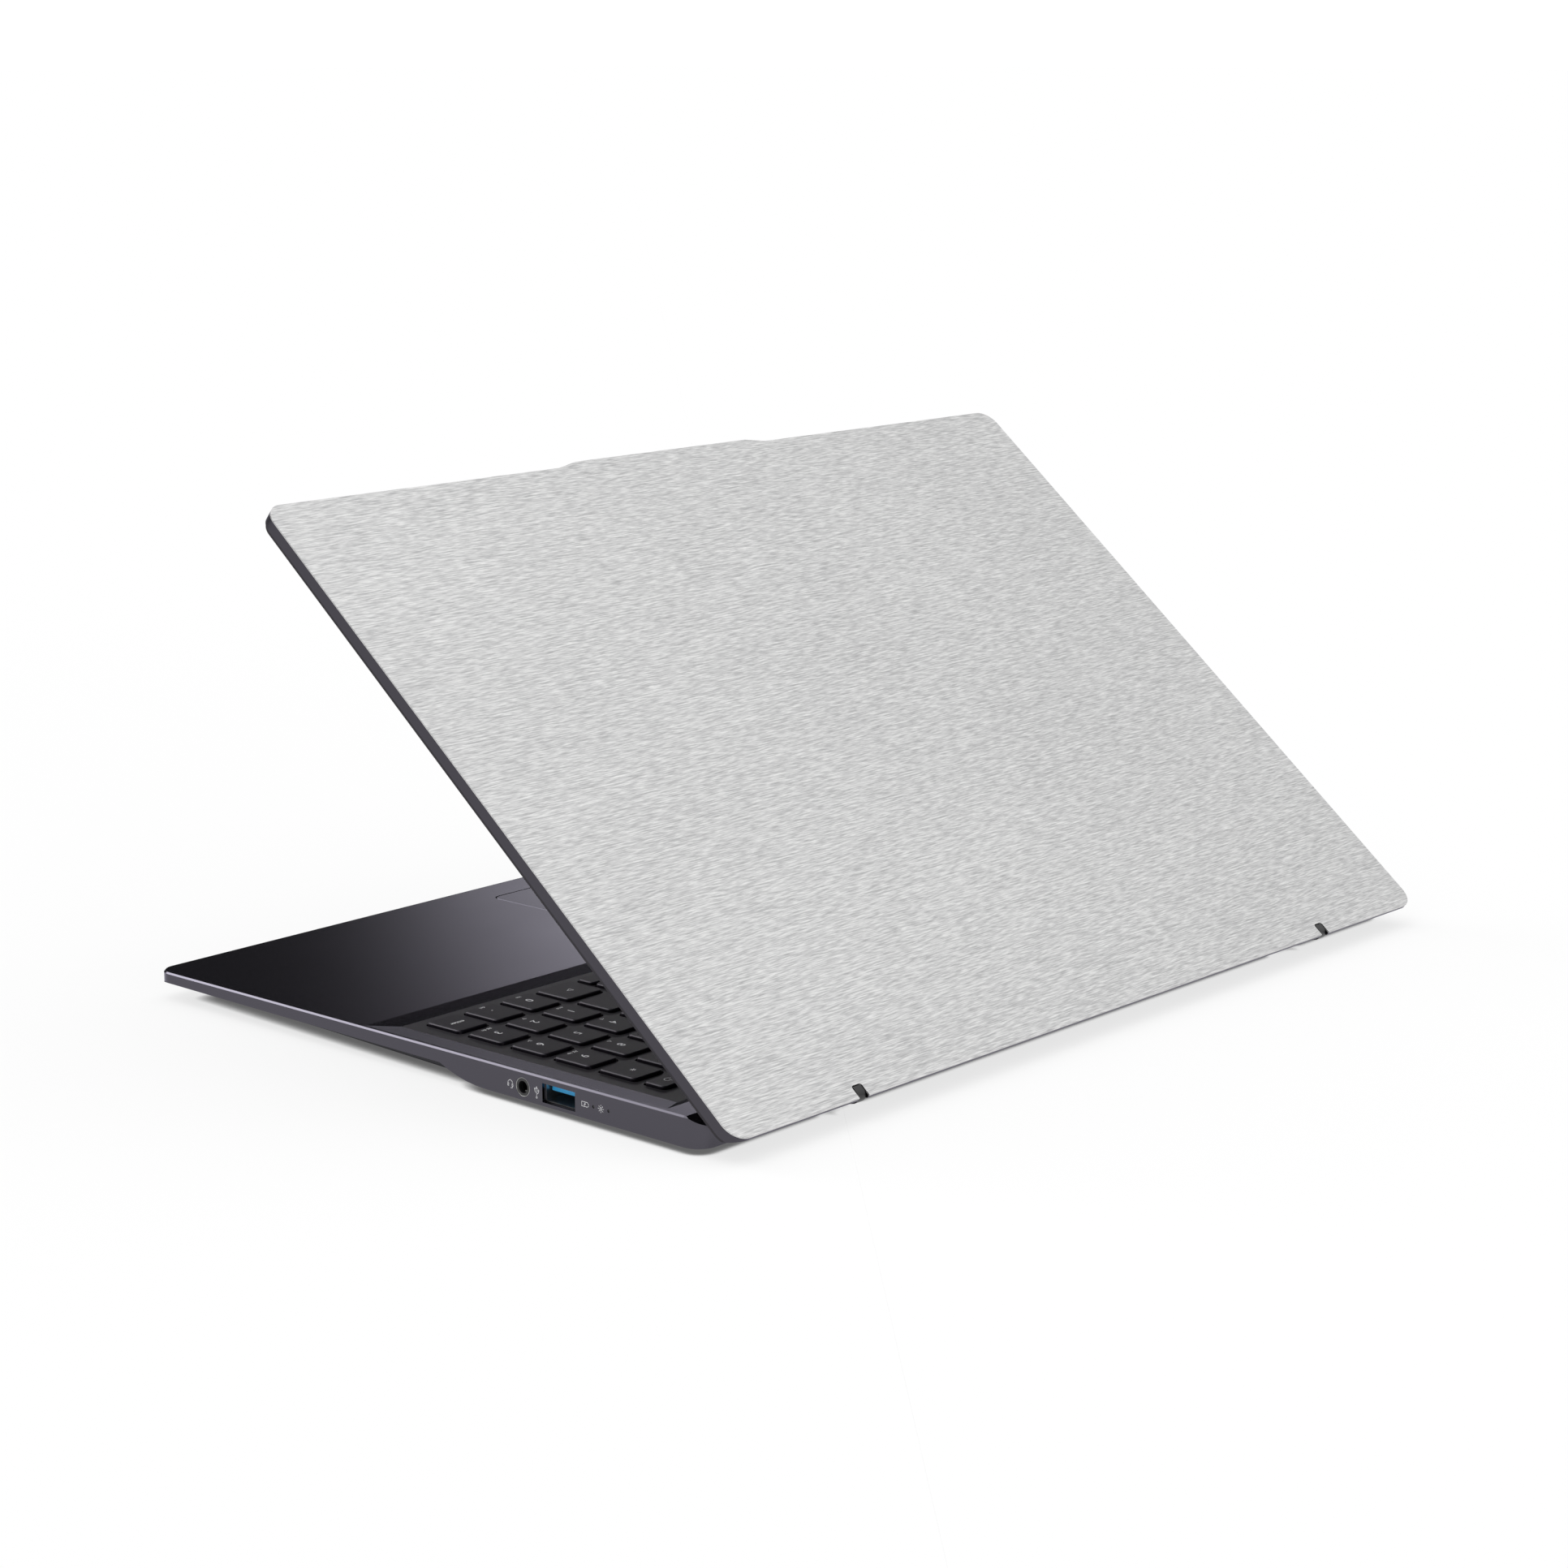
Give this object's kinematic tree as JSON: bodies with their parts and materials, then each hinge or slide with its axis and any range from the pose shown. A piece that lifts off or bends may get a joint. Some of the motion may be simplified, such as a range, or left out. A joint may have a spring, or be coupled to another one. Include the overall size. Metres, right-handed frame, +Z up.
{
  "type": "laptop computer",
  "caption": "Large clamshell laptop with a lift hinge lid, island keyboard with number pad, wide touchpad and side ports, standing half open.",
  "frame": {"origin": "centre of the base's footprint at the table, midway between the front edge and the rear edge of the lid as it stands in the picture", "axes": "+X to the user's right, +Y from the front edge to the hinge, +Z up"},
  "size_m": [0.356, 0.26, 0.1698],
  "materials": {
    "deck_paint": "satin anodised-look dark slate",
    "underside_plastic": "fine matte texture",
    "foot_rubber": "matte",
    "screw_steel": "blackened",
    "keyboard_plastic": "matte",
    "key_plastic": "soft satin",
    "key_legend": "pad print",
    "dome_rubber": "translucent grey",
    "plate_steel": "pressed sheet",
    "touchpad_surface": "smooth satin",
    "battery_wrap": "film",
    "circuit_board": "solder mask",
    "speaker_plastic": "moulded",
    "fan_plastic": "moulded",
    "fin_aluminium": "plain",
    "copper": "plain copper",
    "port_steel": "nickel plated",
    "usb_blue": "moulded",
    "port_plastic": "moulded",
    "jack_ring_metal": "plated",
    "light_pipe": "clear moulded",
    "hinge_steel": "black",
    "lid_aluminium": "brushed along the width, silver grey",
    "lid_plastic": "satin grey",
    "bezel_plastic": "fine texture",
    "screen_film": "anti-glare film",
    "webcam_glass": "lens cover",
    "icon_print": "pad print"
  },
  "bodies": {
    "base": {"audio_jack": "port_plastic", "audio_jack_ring": "jack_ring_metal", "battery_pack": "battery_wrap", "bottom_cover": "underside_plastic", "bottom_screws": "screw_steel", "fan_housing": "fan_plastic", "front_foot_left": "foot_rubber", "front_foot_right": "foot_rubber", "hdmi_port": "port_steel", "heat_pipe": "copper", "heatsink_fins": "fin_aluminium", "hinge_bracket_left": "hinge_steel", "hinge_bracket_right": "hinge_steel", "indicator_light_pipes": "light_pipe", "io_board": "circuit_board", "key_dome_sheet": "dome_rubber", "keyboard_backplate": "plate_steel", "keyboard_grid": "keyboard_plastic", "mainboard": "circuit_board", "memory_module": "circuit_board", "rear_foot_strip": "foot_rubber", "speaker_left": "speaker_plastic", "speaker_right": "speaker_plastic", "ssd_module": "circuit_board", "top_case": "deck_paint", "touchpad_bracket": "plate_steel", "usb_a_left_shell": "port_steel", "usb_a_left_tongue": "usb_blue", "usb_a_right_shell": "port_steel", "usb_a_right_tongue": "usb_blue", "usb_c_ports": "port_steel", "wifi_card": "circuit_board"},
    "lid": {"lid_skin": "lid_aluminium", "lid_cover": "lid_plastic", "display_bezel": "bezel_plastic", "lcd_panel": "screen_film", "webcam_module": "webcam_glass", "bezel_bumpers": "foot_rubber", "hinge_arm_right": "hinge_steel", "hinge_arm_left": "hinge_steel"},
    "touchpad": {"touchpad": "touchpad_surface"},
    "fan_rotor": {"fan_rotor": "fan_plastic"},
    "function_row_keys": {"function_row_keys": "key_plastic"},
    "power_key": {"power_key": "key_plastic"},
    "number_row_keys": {"number_row_keys": "key_plastic"},
    "backspace_key": {"backspace_key": "key_plastic"},
    "tab_key": {"tab_key": "key_plastic"},
    "upper_row_keys": {"upper_row_keys": "key_plastic"},
    "caps_lock_key": {"caps_lock_key": "key_plastic"},
    "home_row_keys": {"home_row_keys": "key_plastic"},
    "enter_key": {"enter_key": "key_plastic"},
    "left_shift_key": {"left_shift_key": "key_plastic"},
    "lower_row_keys": {"lower_row_keys": "key_plastic"},
    "right_shift_key": {"right_shift_key": "key_plastic"},
    "modifier_keys": {"modifier_keys": "key_plastic"},
    "space_bar": {"space_bar": "key_plastic"},
    "arrow_keys": {"arrow_keys": "key_plastic"},
    "numpad_digit_keys": {"numpad_digit_keys": "key_plastic"},
    "numpad_operator_keys": {"numpad_operator_keys": "key_plastic"},
    "numpad_enter_key": {"numpad_enter_key": "key_plastic"}
  },
  "joints": [
    {"name": "lid_hinge", "type": "hinge", "parent": "base", "child": "lid", "pos_m": [0, 0.11452, 0.0046], "axis": [-1, 0, 0], "range_deg": [-39.7, 100]},
    {"name": "touchpad_click", "type": "hinge", "parent": "base", "child": "touchpad", "pos_m": [-0.026, -0.0327, 0.0096], "axis": [1, 0, 0], "range_deg": [0, 0.3], "stiffness_Nm_per_rad": 40, "springref_deg": -0.57},
    {"name": "fan_spin", "type": "hinge", "parent": "base", "child": "fan_rotor", "pos_m": [0.062, 0.072, 0.005], "axis": [0, 0, 1], "continuous": true},
    {"name": "function_row_keys_press", "type": "slide", "parent": "base", "child": "function_row_keys", "axis": [0, 0, -1], "range_m": [0, 0.0012], "stiffness_N_per_m": 800, "springref_m": -0.0006},
    {"name": "power_key_press", "type": "slide", "parent": "base", "child": "power_key", "axis": [0, 0, -1], "range_m": [0, 0.0012], "stiffness_N_per_m": 800, "springref_m": -0.0006},
    {"name": "number_row_keys_press", "type": "slide", "parent": "base", "child": "number_row_keys", "axis": [0, 0, -1], "range_m": [0, 0.0012], "stiffness_N_per_m": 800, "springref_m": -0.0006},
    {"name": "backspace_key_press", "type": "slide", "parent": "base", "child": "backspace_key", "axis": [0, 0, -1], "range_m": [0, 0.0012], "stiffness_N_per_m": 800, "springref_m": -0.0006},
    {"name": "tab_key_press", "type": "slide", "parent": "base", "child": "tab_key", "axis": [0, 0, -1], "range_m": [0, 0.0012], "stiffness_N_per_m": 800, "springref_m": -0.0006},
    {"name": "upper_row_keys_press", "type": "slide", "parent": "base", "child": "upper_row_keys", "axis": [0, 0, -1], "range_m": [0, 0.0012], "stiffness_N_per_m": 800, "springref_m": -0.0006},
    {"name": "caps_lock_key_press", "type": "slide", "parent": "base", "child": "caps_lock_key", "axis": [0, 0, -1], "range_m": [0, 0.0012], "stiffness_N_per_m": 800, "springref_m": -0.0006},
    {"name": "home_row_keys_press", "type": "slide", "parent": "base", "child": "home_row_keys", "axis": [0, 0, -1], "range_m": [0, 0.0012], "stiffness_N_per_m": 800, "springref_m": -0.0006},
    {"name": "enter_key_press", "type": "slide", "parent": "base", "child": "enter_key", "axis": [0, 0, -1], "range_m": [0, 0.0012], "stiffness_N_per_m": 800, "springref_m": -0.0006},
    {"name": "left_shift_key_press", "type": "slide", "parent": "base", "child": "left_shift_key", "axis": [0, 0, -1], "range_m": [0, 0.0012], "stiffness_N_per_m": 800, "springref_m": -0.0006},
    {"name": "lower_row_keys_press", "type": "slide", "parent": "base", "child": "lower_row_keys", "axis": [0, 0, -1], "range_m": [0, 0.0012], "stiffness_N_per_m": 800, "springref_m": -0.0006},
    {"name": "right_shift_key_press", "type": "slide", "parent": "base", "child": "right_shift_key", "axis": [0, 0, -1], "range_m": [0, 0.0012], "stiffness_N_per_m": 800, "springref_m": -0.0006},
    {"name": "modifier_keys_press", "type": "slide", "parent": "base", "child": "modifier_keys", "axis": [0, 0, -1], "range_m": [0, 0.0012], "stiffness_N_per_m": 800, "springref_m": -0.0006},
    {"name": "space_bar_press", "type": "slide", "parent": "base", "child": "space_bar", "axis": [0, 0, -1], "range_m": [0, 0.0012], "stiffness_N_per_m": 800, "springref_m": -0.0006},
    {"name": "arrow_keys_press", "type": "slide", "parent": "base", "child": "arrow_keys", "axis": [0, 0, -1], "range_m": [0, 0.0012], "stiffness_N_per_m": 800, "springref_m": -0.0006},
    {"name": "numpad_digit_keys_press", "type": "slide", "parent": "base", "child": "numpad_digit_keys", "axis": [0, 0, -1], "range_m": [0, 0.0012], "stiffness_N_per_m": 800, "springref_m": -0.0006},
    {"name": "numpad_operator_keys_press", "type": "slide", "parent": "base", "child": "numpad_operator_keys", "axis": [0, 0, -1], "range_m": [0, 0.0012], "stiffness_N_per_m": 800, "springref_m": -0.0006},
    {"name": "numpad_enter_key_press", "type": "slide", "parent": "base", "child": "numpad_enter_key", "axis": [0, 0, -1], "range_m": [0, 0.0012], "stiffness_N_per_m": 800, "springref_m": -0.0006}
  ]
}
